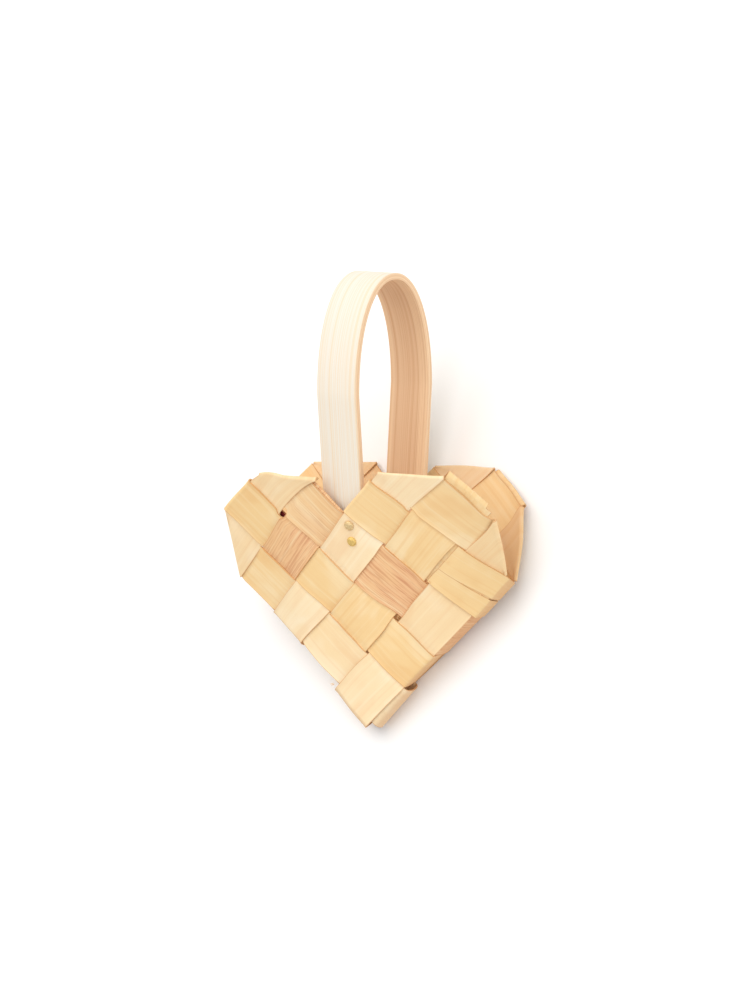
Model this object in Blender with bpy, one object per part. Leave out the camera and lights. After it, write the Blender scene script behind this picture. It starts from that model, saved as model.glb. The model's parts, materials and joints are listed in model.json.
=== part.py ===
"""A heart-shaped basket plaited from flat wood splints, with a bentwood handle.

Two heart panels, front and back, are plain-woven on the bias and joined along the lower V.
Each splint is one solid that runs through both panels.  The shape is worked out upright,
with X to the right, the front towards -Y and Z up, in millimetres, and is then laid on its back.
"""

from math import cos, pi, radians, sin, sqrt

import bmesh
import bpy
from mathutils import Matrix, Vector

# Sizes in millimetres, and angles in degrees
PITCH = 25.6            # from one splint's centre line to the next
SPLINT_THICKNESS = 0.7
SPLINT_GAP = 0.022      # half of the gap between neighbouring splints, in pitches
STEP = 0.012            # half length of the step from one layer to the other, in pitches
LAYER = 0.52            # from the middle surface to a splint's own middle
CROWN = 0.3             # how far a splint bows out over each crossing
FOLD_PUFF = 1.2         # extra room inside the folded corners
TUCK_LENGTH = 0.82      # length of a turned-in end, in pitches
ROLL_RADIUS = 1.5       # of the rolled ends on the outer lobes
ROLL_REACH = 0.07       # how far they stand past the rim splint, in pitches

# Where the woven lines really run, in pitches, from the upper left to the lower right
# (falling lines) and from the lower left to the upper right (rising lines)
FALLING = (-0.974, 0.059, 0.989, 1.927, 3.011, 4.014)
RISING = (-0.039, 0.994, 1.978, 3.021, 4.016, 5.009)

# Half depth of each panel, in pitches: constant, height, height squared, width squared,
# width squared by height, width, width by height, and the front's higher terms
FRONT_DEPTH = (0.2554, -0.0718, 0.0343, -0.1555, 0.0227, -0.0088, 0.0122, 0.0024, -0.007)
BACK_DEPTH = (0.2516, 0.2916, 0.0164, -0.0925, 0.0137, 0.1026, -0.0351, 0.0, 0.0)
BACK_SHIFT = (0.0187, -0.0021)

# How far each splint bulges past the V's edges, and how far it runs on before it bends
WRAP_FALLING = ((6.0, 0.02), (2.8, 0.0), (4.6, 0.0), (2.8, 0.0))
WRAP_RISING = ((4.2, 0.0), (3.0, 0.0), (3.4, 0.0), (4.2, 0.12))

# Handle
HANDLE_WIDTH = 23.8
HANDLE_THICKNESS = 3.45
HANDLE_CHAMFER = 0.45
HANDLE_CENTRE = Vector((1.0, 15.6, 100.0))
HANDLE_YAW, HANDLE_LEAN, HANDLE_ROLL = -12.8, -1.5, 3.4
ARCH_HALF_SPAN = 29.8
ARCH_HEIGHT = 56.2
ARCH_POWER = 2.133
ARCH_SPRING = 165.2
ARCH_STEPS = 20
LEG_CONVERGENCE = 0.0844
LEG_BOTTOM = 74.0
SEAT_TOP = 118.0
SEAT_TURN = 24.0        # length over which a leg turns to lie along its panel
SEAT_ROOM = 2.0         # extra room where it still stands askew
FRONT_SEAT = 4.9        # from the front panel's middle surface to the leg's middle
BACK_SEAT = 4.0

# Tacks: head radius, head height, shank radius and length, and the hole around the shank
HEAD_RADIUS, HEAD_HEIGHT = 2.5, 1.15
SHANK_RADIUS, SHANK_LENGTH = 0.5, 7.5
HOLE_RADIUS = 0.85
FRONT_TACKS = {"front_tack_upper": (1.22, 2.86), "front_tack_lower": (1.45, 2.63)}
BACK_TACKS = {"back_tack_upper": (1.24, 2.84), "back_tack_lower": (1.47, 2.61)}

# How the basket lies: on its back panel, top away from the front of the frame
LIE_TILT = 21.606
LIE_ROLL = 3.572
LIE_SHIFT = Vector((-2.73, -104.946, 7.269))

SPLINT_COLOURS = {
    "splint_left_loop": (0.86, 0.64, 0.38),
    "splint_right_loop": (0.88, 0.68, 0.42),
    "splint_upper_left": (0.9, 0.66, 0.34),
    "splint_upper_right": (0.9, 0.66, 0.36),
    "splint_notch_left": (0.78, 0.5, 0.3),
    "splint_notch_right": (0.88, 0.68, 0.42),
}

TUCK_LEVEL = -(3.0 * LAYER + CROWN)
DOWN_LEFT, RIGHT, UP = ((x / sqrt(2.0), y / sqrt(2.0)) for x, y in ((-1, -1), (1, 1), (-1, 1)))
COLUMNS = (-1.0, 0.0, 1.0)
CELL = (STEP, 0.3, 0.7, 1.0 - STEP)
FOLD_STEPS = 5
WRAP_STEPS = 6


def line_position(lines, value, first):
    """Position of a woven line, straight between the whole ones."""
    i = min(max(int((value - first) // 1), 0), len(lines) - 2)
    return lines[i] + (value - first - i) * (lines[i + 1] - lines[i])


def surface(side, s, t):
    """A point of a panel's middle surface; s runs down the falling lines, t up the rising ones."""
    s = line_position(FALLING, s, -1)
    t = line_position(RISING, t, 0)
    x, z = (s + t - 4.0) / sqrt(2.0), (4.0 - s + t) / sqrt(2.0)
    c = FRONT_DEPTH if side == "front" else BACK_DEPTH
    depth = c[0] + c[1] * z + c[2] * z * z + (c[3] + c[4] * z) * x * x
    depth += (c[5] + c[6] * z) * x + c[7] * x**4 + c[8] * x**3
    slope = 2.0 * (c[3] + c[4] * z) * x + 4.0 * c[7] * x**3
    x_bent = x * (1.0 - slope * slope / 6.0)
    z_bent = z * (1.0 - c[1] ** 2 / 2.0)
    if side == "front":
        return PITCH * Vector((x_bent, -depth, z_bent))
    return PITCH * Vector((x_bent + BACK_SHIFT[0] * z, depth, z_bent + BACK_SHIFT[1] * z))


def frame_at(side, s, t):
    """Tangents along s and t and the normal, which points to the front on both panels."""
    step = 0.05
    along_s = (surface(side, s + step, t) - surface(side, s - step, t)).normalized()
    along_t = (surface(side, s, t + step) - surface(side, s, t - step)).normalized()
    normal = along_t.cross(along_s).normalized()
    if normal.y > 0.0:
        normal.negate()
    return along_s, along_t, normal


def point(side, s, t, level):
    """A point at a level in front of a panel's middle surface."""
    return surface(side, s, t) + frame_at(side, s, t)[2] * level


def cross_positions(index, flip):
    """Cross positions of a splint's columns."""
    return [index + 0.5 + flip * c * (0.5 - SPLINT_GAP) for c in COLUMNS]


def nearer(falling, a, b):
    """1 where a splint is the nearer one at a crossing, else -1; the crossings take turns."""
    return (1 if falling else -1) * (1 if (a + b) % 2 == 0 else -1)


def make_row(side, falling, runs, crosses, levels):
    """One row across a splint; falling splints run along s, rising ones along t."""
    row = []
    for run, across, level in zip(runs, crosses, levels):
        s, t = (run, across) if falling else (across, run)
        row.append(point(side, s, t, level))
    return row


def crossing_rows(side, falling, index, cells, flip=1):
    """Rows over whole crossings, in the order given."""
    crosses = cross_positions(index, flip)
    backward = cells[-1] < cells[0]
    rows = []
    for cell in cells:
        a, b = (cell, index) if falling else (index, cell)
        sign = nearer(falling, a, b)
        for f in CELL[::-1] if backward else CELL:
            bow = CROWN if 0.2 < f < 0.8 else 0.0
            rows.append(make_row(side, falling, [cell + f] * 3, crosses, [sign * (LAYER + bow)] * 3))
    return rows


def fold_rows(side, leg_in, leg_out, fold_at, outward, corner):
    """Rows of a slanting fold, from one direction of the weave into the other.

    A leg is (falling, index, flip, run where the half crossing starts or ends).
    """
    falling, index, flip, start = leg_in
    falling_out, index_out, flip_out, end = leg_out
    crosses = cross_positions(index, flip)
    crosses_out = cross_positions(index_out, flip_out)
    folds = [fold_at(c) for c in crosses]
    sign = nearer(falling, *corner)
    puffs = [FOLD_PUFF * abs(f - start) for f in folds]
    puffs_out = [FOLD_PUFF * abs(c - end) for c in crosses]
    rows = []
    for u in (0.0, 0.5, 1.0):
        runs = [start + (f - start) * u for f in folds]
        rows.append(make_row(side, falling, runs, crosses, [sign * (LAYER + p * u) for p in puffs]))
    for i in range(1, FOLD_STEPS):
        angle = pi * i / FOLD_STEPS
        row = []
        for f, c, p, q in zip(folds, crosses, puffs, puffs_out):
            radius = LAYER + (p + q) / 2.0
            level = sign * ((p - q) / 2.0 + radius * cos(angle))
            reach = sin(angle) * radius / PITCH
            s, t = (f, c) if falling else (c, f)
            row.append(point(side, s + outward[0] * reach, t + outward[1] * reach, level))
        rows.append(row)
    for u in (1.0, 0.5, 0.0):
        runs = [end + (c - end) * u for c in crosses]
        levels = [-sign * (LAYER + q * u) for q in puffs_out]
        rows.append(make_row(side, falling_out, runs, crosses_out, levels))
    return rows


def tuck_rows(side, falling, index, edge, inward, radius):
    """Rows of an end turned over the rim, from its free end up to the rim."""
    crosses = cross_positions(index, 1)
    cell = int((edge + 0.5 * inward) // 1)
    a, b = (cell, index) if falling else (index, cell)
    top = nearer(falling, a, b) * LAYER
    low = top - 2.0 * radius
    run_end = edge + inward * TUCK_LENGTH
    rows = []
    for u in (0.0, 0.6):
        runs = [run_end + (edge - run_end) * u] * 3
        rows.append(make_row(side, falling, runs, crosses, [TUCK_LEVEL + (low - TUCK_LEVEL) * u] * 3))
    for i in range(FOLD_STEPS + 1):
        angle = pi * i / FOLD_STEPS
        runs = [edge - inward * sin(angle) * radius / PITCH] * 3
        rows.append(make_row(side, falling, runs, crosses, [top - radius - radius * cos(angle)] * 3))
    return rows


def wrap_rows(falling, index, flip, from_side, to_side):
    """Rows of the bend round an edge of the V, from one panel to the other."""
    bulge, reach = (WRAP_FALLING if falling else WRAP_RISING)[index]
    edge = 4.0 - SPLINT_GAP + reach if falling else SPLINT_GAP - reach
    level = (nearer(True, 3, index) if falling else nearer(False, index, 0)) * LAYER
    ends = []
    for side in (from_side, to_side):
        row, pulls = [], []
        for c in cross_positions(index, flip):
            s, t = (edge, c) if falling else (c, edge)
            along_s, along_t, _ = frame_at(side, s, t)
            row.append(point(side, s, t, level))
            pulls.append((along_s if falling else -along_t) * bulge * 4.0 / 3.0)
        ends.append((row, pulls))
    (row_0, pulls_0), (row_1, pulls_1) = ends
    skip = 0 if reach > 0.005 else 1
    rows = []
    for i in range(skip, WRAP_STEPS + 1 - skip):
        u = i / WRAP_STEPS
        v = 1.0 - u
        row = []
        for p, d, q, e in zip(row_0, pulls_0, row_1, pulls_1):
            row.append(v**3 * p + 3.0 * v * v * u * (p + d) + 3.0 * v * u * u * (q + e) + u**3 * q)
        rows.append(row)
    return rows


def left_loop_side(side):
    """One panel's rows of the splint that makes the left lobe's outer border."""
    g = STEP
    rows = crossing_rows(side, True, 0, (3, 2, 1, 0))
    rows += fold_rows(side, (True, 0, 1, -g), (False, -1, -1, 1.0 - g), lambda c: -c, DOWN_LEFT, (-1, 0))
    rows += crossing_rows(side, False, -1, (1,), -1)
    rows += fold_rows(side, (False, -1, -1, 2.0 + g), (True, 2, -1, -g), lambda c: c + 3.0, UP, (-1, 2))
    return rows + crossing_rows(side, True, 2, (0, 1, 2, 3), -1)


def right_loop_side(side):
    """One panel's rows of the splint that makes the right lobe's outer border."""
    g = STEP
    rows = crossing_rows(side, False, 1, (0, 1, 2, 3))
    rows += fold_rows(side, (False, 1, 1, 4.0 + g), (True, 4, 1, 2.0 - g), lambda c: c + 3.0, UP, (1, 4))
    rows += crossing_rows(side, True, 4, (2,), 1)
    rows += fold_rows(side, (True, 4, 1, 3.0 + g), (False, 3, -1, 4.0 + g), lambda c: 8.0 - c, RIGHT, (3, 4))
    return rows + crossing_rows(side, False, 3, (3, 2, 1, 0), -1)


def single_side(side, falling, index, edge, inward, radius, cells):
    """One panel's rows of a splint that ends in a turned-in end at the rim."""
    rows = tuck_rows(side, falling, index, edge, inward, radius)
    over = crossing_rows(side, falling, index, cells)
    covered = (edge - (cells[0] + (CELL[0] if inward > 0 else CELL[-1]))) * inward > 0.0
    return rows + (over[1:] if covered else over)


def unit_bend(before, here, after):
    """Direction through a point of a line, and how much a wall widens at its bend."""
    if before is None or after is None:
        only = (after - here) if before is None else (here - before)
        return only.normalized(), 1.0
    one, two = (here - before).normalized(), (after - here).normalized()
    both = one + two
    if both.length < 1e-6:
        return two, 1.0
    return both.normalized(), 1.0 / max(both.length / 2.0, 0.72)


def add_object(name, mesh_builder, colour, roughness, metallic=0.0):
    """Makes a named object with its own material from a bmesh."""
    place = lying_matrix()
    bmesh.ops.recalc_face_normals(mesh_builder, faces=mesh_builder.faces)
    for vertex in mesh_builder.verts:
        vertex.co = place @ vertex.co
    mesh = bpy.data.meshes.new(name)
    mesh_builder.to_mesh(mesh)
    mesh_builder.free()
    thing = bpy.data.objects.new(name, mesh)
    bpy.context.scene.collection.objects.link(thing)
    material = bpy.data.materials.new(name)
    material.use_nodes = True
    shader = material.node_tree.nodes["Principled BSDF"]
    shader.inputs["Base Color"].default_value = (*colour, 1.0)
    shader.inputs["Roughness"].default_value = roughness
    shader.inputs["Metallic"].default_value = metallic
    mesh.materials.append(material)
    return thing


def lying_matrix():
    """From the upright millimetre frame to the lying metre frame."""
    lay = Matrix.Rotation(radians(-90.0 + LIE_TILT), 4, "X")
    roll = Matrix.Rotation(radians(LIE_ROLL), 4, "Y")
    return Matrix.Translation(LIE_SHIFT * 0.001) @ Matrix.Scale(0.001, 4) @ roll @ lay


def ribbon(rows, closed):
    """A bmesh wall of splint thickness around rows of middle points."""
    mesh_builder = bmesh.new()
    count, width = len(rows), len(rows[0])
    near, far = [], []
    for i, row in enumerate(rows):
        near_row, far_row = [], []
        for j, here in enumerate(row):
            before = rows[i - 1][j] if i or closed else None
            after = rows[(i + 1) % count][j] if i < count - 1 or closed else None
            along, widen = unit_bend(before, here, after)
            left = row[j - 1] if j else None
            right = row[j + 1] if j < width - 1 else None
            across, _ = unit_bend(left, here, right)
            normal = along.cross(across).normalized() * (SPLINT_THICKNESS / 2.0 * widen)
            near_row.append(mesh_builder.verts.new(here + normal))
            far_row.append(mesh_builder.verts.new(here - normal))
        near.append(near_row)
        far.append(far_row)
    for i in range(count if closed else count - 1):
        n = (i + 1) % count
        for j in range(width - 1):
            mesh_builder.faces.new((near[i][j], near[i][j + 1], near[n][j + 1], near[n][j]))
            mesh_builder.faces.new((far[i][j], far[n][j], far[n][j + 1], far[i][j + 1]))
        for j in (0, width - 1):
            mesh_builder.faces.new((near[i][j], near[n][j], far[n][j], far[i][j]))
    if not closed:
        for i in (0, count - 1):
            mesh_builder.faces.new(near[i] + far[i][::-1])
    return mesh_builder


def splints():
    """Makes the six splints."""
    turned, folded = 2.0 * LAYER + CROWN / 2.0, LAYER + CROWN / 2.0
    singles = {
        "splint_upper_left": (True, 1, -1.0 + SPLINT_GAP + 0.019, 1, turned, (-1, 0, 1, 2, 3)),
        "splint_notch_left": (False, 0, 3.0 - SPLINT_GAP - 0.03, -1, folded, (2, 1, 0)),
        "splint_notch_right": (True, 3, 1.0 + SPLINT_GAP + 0.019, 1, turned, (1, 2, 3)),
        "splint_upper_right": (False, 2, 5.0 - SPLINT_GAP + ROLL_REACH, -1, ROLL_RADIUS, (4, 3, 2, 1, 0)),
    }
    made = []
    for name, (falling, index, edge, inward, radius, cells) in singles.items():
        front = single_side("front", falling, index, edge, inward, radius, cells)
        back = single_side("back", falling, index, edge, inward, radius, cells)
        rows = front + wrap_rows(falling, index, 1, "front", "back") + back[::-1]
        made.append(add_object(name, ribbon(rows, False), SPLINT_COLOURS[name], 0.55))
    loops = {
        "splint_left_loop": (left_loop_side, (True, 2, -1), (True, 0, 1)),
        "splint_right_loop": (right_loop_side, (False, 3, -1), (False, 1, 1)),
    }
    for name, (one_side, last, first) in loops.items():
        rows = one_side("front") + wrap_rows(*last, "front", "back")
        rows += one_side("back")[::-1] + wrap_rows(*first, "back", "front")
        made.append(add_object(name, ribbon(rows, True), SPLINT_COLOURS[name], 0.55))
    return made


def handle_turn():
    """The handle's own turn against the basket."""
    yaw = Matrix.Rotation(radians(HANDLE_YAW), 3, "Z")
    lean = Matrix.Rotation(radians(HANDLE_LEAN), 3, "X")
    return yaw @ lean @ Matrix.Rotation(radians(HANDLE_ROLL), 3, "Y")


def panel_depth(side, x, z):
    """Depth of a panel's middle surface at a place of the upright frame."""
    s, t = 2.0, 2.0
    for _ in range(8):
        here = surface(side, s, t)
        dx, dz = (x - here.x) / PITCH, (z - here.z) / PITCH
        s += (dx - dz) / sqrt(2.0)
        t += (dx + dz) / sqrt(2.0)
    return surface(side, s, t).y


def handle_line():
    """Middle points of the band, from the front leg's foot over the crown to the back leg's."""
    places = []
    legs = (LEG_BOTTOM, 82.0, 90.0, 98.0, 106.0, 112.0, SEAT_TOP, 128.0, 146.0)
    leg = [(-(ARCH_HALF_SPAN + LEG_CONVERGENCE * (z - ARCH_SPRING)), z) for z in legs]
    arch = []
    for i in range(ARCH_STEPS + 1):
        angle = pi * i / ARCH_STEPS
        c, s = cos(angle), sin(angle)
        across = -ARCH_HALF_SPAN * (1 if c > 0 else -1) * abs(c) ** (2.0 / ARCH_POWER)
        arch.append((across, ARCH_SPRING + ARCH_HEIGHT * abs(s) ** (2.0 / ARCH_POWER)))
    turn = handle_turn()
    for across, z in leg + arch + [(-y, z) for y, z in leg[::-1]]:
        place = turn @ Vector((0.0, across, z - 100.0)) + HANDLE_CENTRE
        if z <= SEAT_TOP:
            blend = min(1.0, (SEAT_TOP - z) / 10.0)
            room = SEAT_ROOM * (1.0 - min(1.0, (SEAT_TOP - z) / SEAT_TURN))
            side, seat = ("front", FRONT_SEAT + room) if across < 0.0 else ("back", -BACK_SEAT - room)
            seated = panel_depth(side, place.x, place.z) + seat
            place.y += (seated - place.y) * blend
        places.append((place, z))
    return places


def handle():
    """Makes the bentwood band."""
    places = handle_line()
    turn = handle_turn()
    half_width, half_thickness = HANDLE_WIDTH / 2.0, HANDLE_THICKNESS / 2.0
    inset = HANDLE_CHAMFER
    outline = [(half_width, half_thickness - inset), (half_width - inset, half_thickness)]
    outline += [(-x, y) for x, y in outline[::-1]]
    outline += [(-x, -y) for x, y in outline]
    mesh_builder = bmesh.new()
    rings = []
    for i, (place, z) in enumerate(places):
        before = places[i - 1][0] if i else None
        after = places[i + 1][0] if i < len(places) - 1 else None
        along, widen = unit_bend(before, place, after)
        sideways = turn @ Vector((1.0, 0.0, 0.0))
        if z <= SEAT_TOP:
            flat = min(1.0, (SEAT_TOP - z) / SEAT_TURN)
            sideways = sideways.lerp(Vector((1.0, 0.0, sideways.z)), flat * 0.8).normalized()
        sideways = (sideways - along * sideways.dot(along)).normalized()
        outward = along.cross(sideways)
        rings.append([
            mesh_builder.verts.new(place + sideways * x + outward * (y * widen)) for x, y in outline
        ])
    for ring, following in zip(rings, rings[1:]):
        for j in range(8):
            n = (j + 1) % 8
            mesh_builder.faces.new((ring[j], ring[n], following[n], following[j]))
    mesh_builder.faces.new(rings[0])
    mesh_builder.faces.new(rings[-1][::-1])
    return add_object("handle", mesh_builder, (0.88, 0.72, 0.5), 0.5)


def tack_place(side, s, t):
    """Where a tack's head sits on the outside of a panel, and the way it points out."""
    _, _, normal = frame_at(side, s, t)
    level = LAYER + CROWN + SPLINT_THICKNESS / 2.0 + 0.3
    if side == "front":
        return point(side, s, t, level), normal
    return point(side, s, t, -level), -normal


def turned(mesh_builder, profile, base, axis, steps):
    """Adds a closed turned shape with its axis through base; the profile starts and ends on it."""
    spin = axis.to_track_quat("Z", "Y")
    rings = []
    for r, z in profile:
        if r == 0.0:
            rings.append([mesh_builder.verts.new(base + spin @ Vector((0.0, 0.0, z)))])
        else:
            turns = [2.0 * pi * i / steps for i in range(steps)]
            rings.append([
                mesh_builder.verts.new(base + spin @ Vector((r * cos(q), r * sin(q), z))) for q in turns
            ])
    for ring, following in zip(rings, rings[1:]):
        for i in range(steps):
            n = (i + 1) % steps
            if len(ring) == 1:
                mesh_builder.faces.new((ring[0], following[i], following[n]))
            elif len(following) == 1:
                mesh_builder.faces.new((ring[i], following[0], ring[n]))
            else:
                mesh_builder.faces.new((ring[i], following[i], following[n], ring[n]))


def tacks():
    """Makes the four tacks and the hole that each shank runs in."""
    holes = bmesh.new()
    profile = [(0.0, HEAD_HEIGHT), (HEAD_RADIUS * 0.5, HEAD_HEIGHT * 0.9)]
    profile += [(HEAD_RADIUS * 0.86, HEAD_HEIGHT * 0.55), (HEAD_RADIUS, 0.12), (HEAD_RADIUS, 0.0)]
    profile += [(SHANK_RADIUS, 0.0), (SHANK_RADIUS, 1.2 - SHANK_LENGTH), (0.0, -SHANK_LENGTH)]
    hole = [(0.0, 0.2), (HOLE_RADIUS, 0.2), (HOLE_RADIUS, -SHANK_LENGTH - 2.0), (0.0, -SHANK_LENGTH - 2.0)]
    for side, places in (("front", FRONT_TACKS), ("back", BACK_TACKS)):
        for name, (s, t) in places.items():
            base, axis = tack_place(side, s, t)
            tack = bmesh.new()
            turned(tack, profile, base, axis, 14)
            turned(holes, hole, base, axis, 10)
            add_object(name, tack, (0.62, 0.46, 0.16), 0.35, 1.0)
    cutter = add_object("tack_holes", holes, (0.5, 0.5, 0.5), 0.5)
    cutter.hide_render = True
    cutter.display_type = "WIRE"
    for name in ("splint_left_loop", "splint_right_loop", "handle"):
        drill = bpy.data.objects[name].modifiers.new("tack holes", "BOOLEAN")
        drill.operation = "DIFFERENCE"
        drill.solver = "EXACT"
        drill.object = cutter


def main():
    """Clears the scene and builds the basket."""
    for thing in list(bpy.data.objects):
        bpy.data.objects.remove(thing, do_unlink=True)
    splints()
    handle()
    tacks()


main()
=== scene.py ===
"""Dresses a plaited heart basket: six wood splints, a bentwood handle and four brass tacks.

The weave is worked out upright, in millimetres, with X to the right, the front towards -Y and Z up.
It is then laid on its back, in metres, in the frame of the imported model.
"""

import json
from math import cos, exp, pi, radians, sin, sqrt

import bmesh
import bpy
from bpy.props import FloatProperty, FloatVectorProperty, IntProperty, PointerProperty
from mathutils import Matrix, Vector, noise


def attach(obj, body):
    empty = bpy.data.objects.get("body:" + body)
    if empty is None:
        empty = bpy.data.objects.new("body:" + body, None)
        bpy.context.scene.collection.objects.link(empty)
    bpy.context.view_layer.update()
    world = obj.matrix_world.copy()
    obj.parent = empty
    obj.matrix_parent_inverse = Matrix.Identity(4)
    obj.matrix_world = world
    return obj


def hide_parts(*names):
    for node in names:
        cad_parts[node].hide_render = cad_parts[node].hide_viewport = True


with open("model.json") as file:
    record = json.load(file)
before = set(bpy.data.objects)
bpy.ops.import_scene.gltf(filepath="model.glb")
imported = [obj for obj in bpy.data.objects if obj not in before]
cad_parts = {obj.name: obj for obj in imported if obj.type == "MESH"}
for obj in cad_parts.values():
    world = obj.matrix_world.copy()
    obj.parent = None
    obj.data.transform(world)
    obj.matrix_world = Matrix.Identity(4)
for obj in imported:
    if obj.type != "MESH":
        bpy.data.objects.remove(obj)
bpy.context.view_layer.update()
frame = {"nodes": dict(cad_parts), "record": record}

bl_info = {
    "name": "Plaited heart basket",
    "version": (1, 0, 0),
    "blender": (4, 5, 0),
    "location": "3D Viewport > Sidebar > Basket",
    "description": "Weaves, handles and tacks a heart basket of wood splint",
    "category": "Object",
}

# The weave, as in the solid model; lengths in millimetres, places in pitches
FALLING = (-0.974, 0.059, 0.989, 1.927, 3.011, 4.014)
RISING = (-0.039, 0.994, 1.978, 3.021, 4.016, 5.009)
FRONT_DEPTH = (0.2554, -0.0718, 0.0343, -0.1555, 0.0227, -0.0088, 0.0122, 0.0024, -0.007)
BACK_DEPTH = (0.2516, 0.2916, 0.0164, -0.0925, 0.0137, 0.1026, -0.0351, 0.0, 0.0)
BACK_SHIFT = (0.0187, -0.0021)
PITCH = 25.6
LIE_TILT, LIE_ROLL = 21.606, 3.572
LIE_SHIFT = Vector((-2.73, -104.946, 7.294))  # its last number is 0.025 above the solids'

# How the splints lie over and under each other
NEAR_LEVEL = 0.38       # middle of an outer splint, above the middle surface
EDGE_LIFT = 0.36        # how far its free edges stand up over the splints that pass under them
DIVE = 0.13             # length over which it dives under a neighbour, in pitches
EDGE_REACH = 0.09       # width of the lifted edge, in pitches
CORNER_STEP = 0.03      # length over which the lift changes sides at a line
SPLINT_GAP = 0.012      # half of the gap between neighbours
WOBBLE = 0.1            # uneven height
ROUGH_EDGE = 0.12       # uneven width
ROWS_PER_CELL = 30
COLUMNS = (-1.0, -0.975, -0.945, -0.9, -0.84, -0.74, -0.56, -0.3, 0.0)
COLUMNS += tuple(-c for c in COLUMNS[-2::-1])

# Bulge of each splint round the V's edges, how far it runs on before it bends, and its twist
WRAP_FALLING = ((3.2, 0.02, 0.6), (0.7, 0.0, 0.0), (1.8, 0.0, 0.0), (0.3, 0.04, 0.0))
WRAP_RISING = ((3.0, 0.0, 0.0), (2.2, 0.0, 0.0), (2.4, 0.0, 0.0), (3.4, 0.1, 0.0))
WRAP_STEPS = 22

# Slanting folds
FOLD_STEPS = 14
FOLD_ROWS = 12
FLAT_LEVEL = 0.6        # most that a leg stands out before it nears its crease
RISE_RUN = 0.45         # length over which it gets there, in pitches
FAN = 4.0               # how late a leg's free edge turns towards the crease
ROUND_SWELL = 0.045     # how far the left lobe's top crease swells near its round end, in pitches

# Turned-in ends
TUCK_LENGTH = 0.82
LONG_TUCK = 1.28        # of the one that lies behind the left lobe's hole
TUCK_LEVEL = -1.86
ROUGH_END = 0.01        # uneven length, in pitches
TURN_RADIUS = 1.15
FLUSH_RADIUS = 0.52
ROLL_RADIUS = 1.5
ROLL_REACH = 0.07
ROLL_CUT = 0.12         # share of the right lobe's roll that is missing at its lower end
BACK_ROLL_RADIUS = 1.4

# The outer ply that has split, on the right lobe: where it starts, its height and its split
LAP_START = 2.955
LAP_LEVEL = 0.56
LAP_THICKNESS = 0.00032
LAP_RAGGED = 0.25
LAP_ROWS = 26
LAP_INSET = 0.004       # of its edges from the splint's, in pitches
LAP_WRAP = 0.8          # share of the bend round the V's edge that it covers
LAP_COLUMNS = (-1.0, -0.9, -0.7, -0.3, 0.2, 0.7, 0.94, 1.0)
SPLIT_PLACE = (0.36, 0.46)
SPLIT_WIDTH = 0.8

# Handle
HANDLE_CENTRE = Vector((1.0, 15.6, 100.0))
HANDLE_YAW, HANDLE_LEAN, HANDLE_ROLL = -12.8, -1.5, 3.4
ARCH_HALF_SPAN, ARCH_HEIGHT, ARCH_POWER, ARCH_SPRING = 29.8, 56.1, 2.133, 165.2
ARCH_STEPS = 120
LEG_CONVERGENCE = 0.0844
LEG_BOTTOM, SEAT_TOP, SEAT_BLEND, SEAT_TURN, SEAT_ROOM = 74.0, 118.0, 10.0, 24.0, 2.0
FRONT_SEAT, BACK_SEAT = 4.9, 4.0

# Tacks: where they sit on the weave
FRONT_TACKS = ((1.24, 2.863), (1.464, 2.627))
BACK_TACKS = ((1.24, 2.84), (1.47, 2.61))
TACK_STANDOFF = 0.63    # of a head over an outer splint's middle: its crown and half its thickness
SHANK_RADIUS, SHANK_LENGTH = 0.5, 7.5
DENT = 0.05             # of the head's radius
DENT_RATE = 1500.0      # how close the dents lie

# Camera, in the upright frame: degrees and millimetres, and the focal length as a share of the height
CAMERA_AZIMUTH, CAMERA_ELEVATION, CAMERA_ROLL = 25.335, 9.841, -3.889
CAMERA_DISTANCE, CAMERA_SIDE, CAMERA_HEIGHT = 1075.53, 7.684, 109.93
CAMERA_FOCUS = 2.14085
SENSOR = 36.0
FLOOR_REACH = 6.0       # metres
LAMP_DISTANCE = 1.3

# Frayed places on the front: s, t, level in millimetres, how many fibres, then their way right and up
FRAYS = (
    (2.93, -0.1, 0.3, 10, -0.7, -0.5), (1.95, 0.0, 0.4, 3, -0.8, -0.5), (0.2, 0.02, 0.3, 3, -0.9, -0.2),
    (2.02, 1.02, 0.9, 5, -0.4, -0.9), (2.0, 2.02, 0.9, 4, 0.3, -0.9), (3.0, 2.03, 0.9, 5, 0.5, -0.8),
    (2.98, 3.05, 1.0, 6, 0.2, -0.9), (3.0, 3.6, 1.0, 5, 0.8, -0.5), (1.03, 3.98, 0.9, 4, -0.6, 0.6),
    (3.45, 3.42, 1.3, 6, 0.6, -0.6), (3.85, 3.46, 1.3, 6, 0.6, -0.6), (3.98, 1.98, 0.9, 4, 0.9, 0.1),
)
FRAY_SPREAD = 0.045     # in pitches
FIBRE_LEAN = 0.7        # most that a fibre leans off its way
FIBRE_OUT = 0.4         # how far it stands out to the front, beside its way right and up

# Tones: how pale and how brown a splint is
YELLOW, CREAM, TAN, GRAINED, BROWN = (0.0, 0.0), (1.0, 0.0), (0.6, 0.12), (0.35, 0.34), (0.15, 0.9)
STRIP_TONES = {
    (True, 0): (YELLOW, (1.05, 0.0)),
    (True, 1): (YELLOW, YELLOW),
    (True, 2): (GRAINED, (-0.3, 1.45)),
    (True, 3): ((0.15, 0.0), YELLOW),
    (True, 4): ((0.15, 0.03), (0.15, 0.03)),
    (False, -1): (TAN, TAN),
    (False, 0): (BROWN, BROWN),
    (False, 1): (CREAM, (1.15, 0.0)),
    (False, 2): ((0.0, 0.03), (0.05, 0.0)),
    (False, 3): ((0.95, 0.0), (0.45, 0.08)),
}

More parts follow.
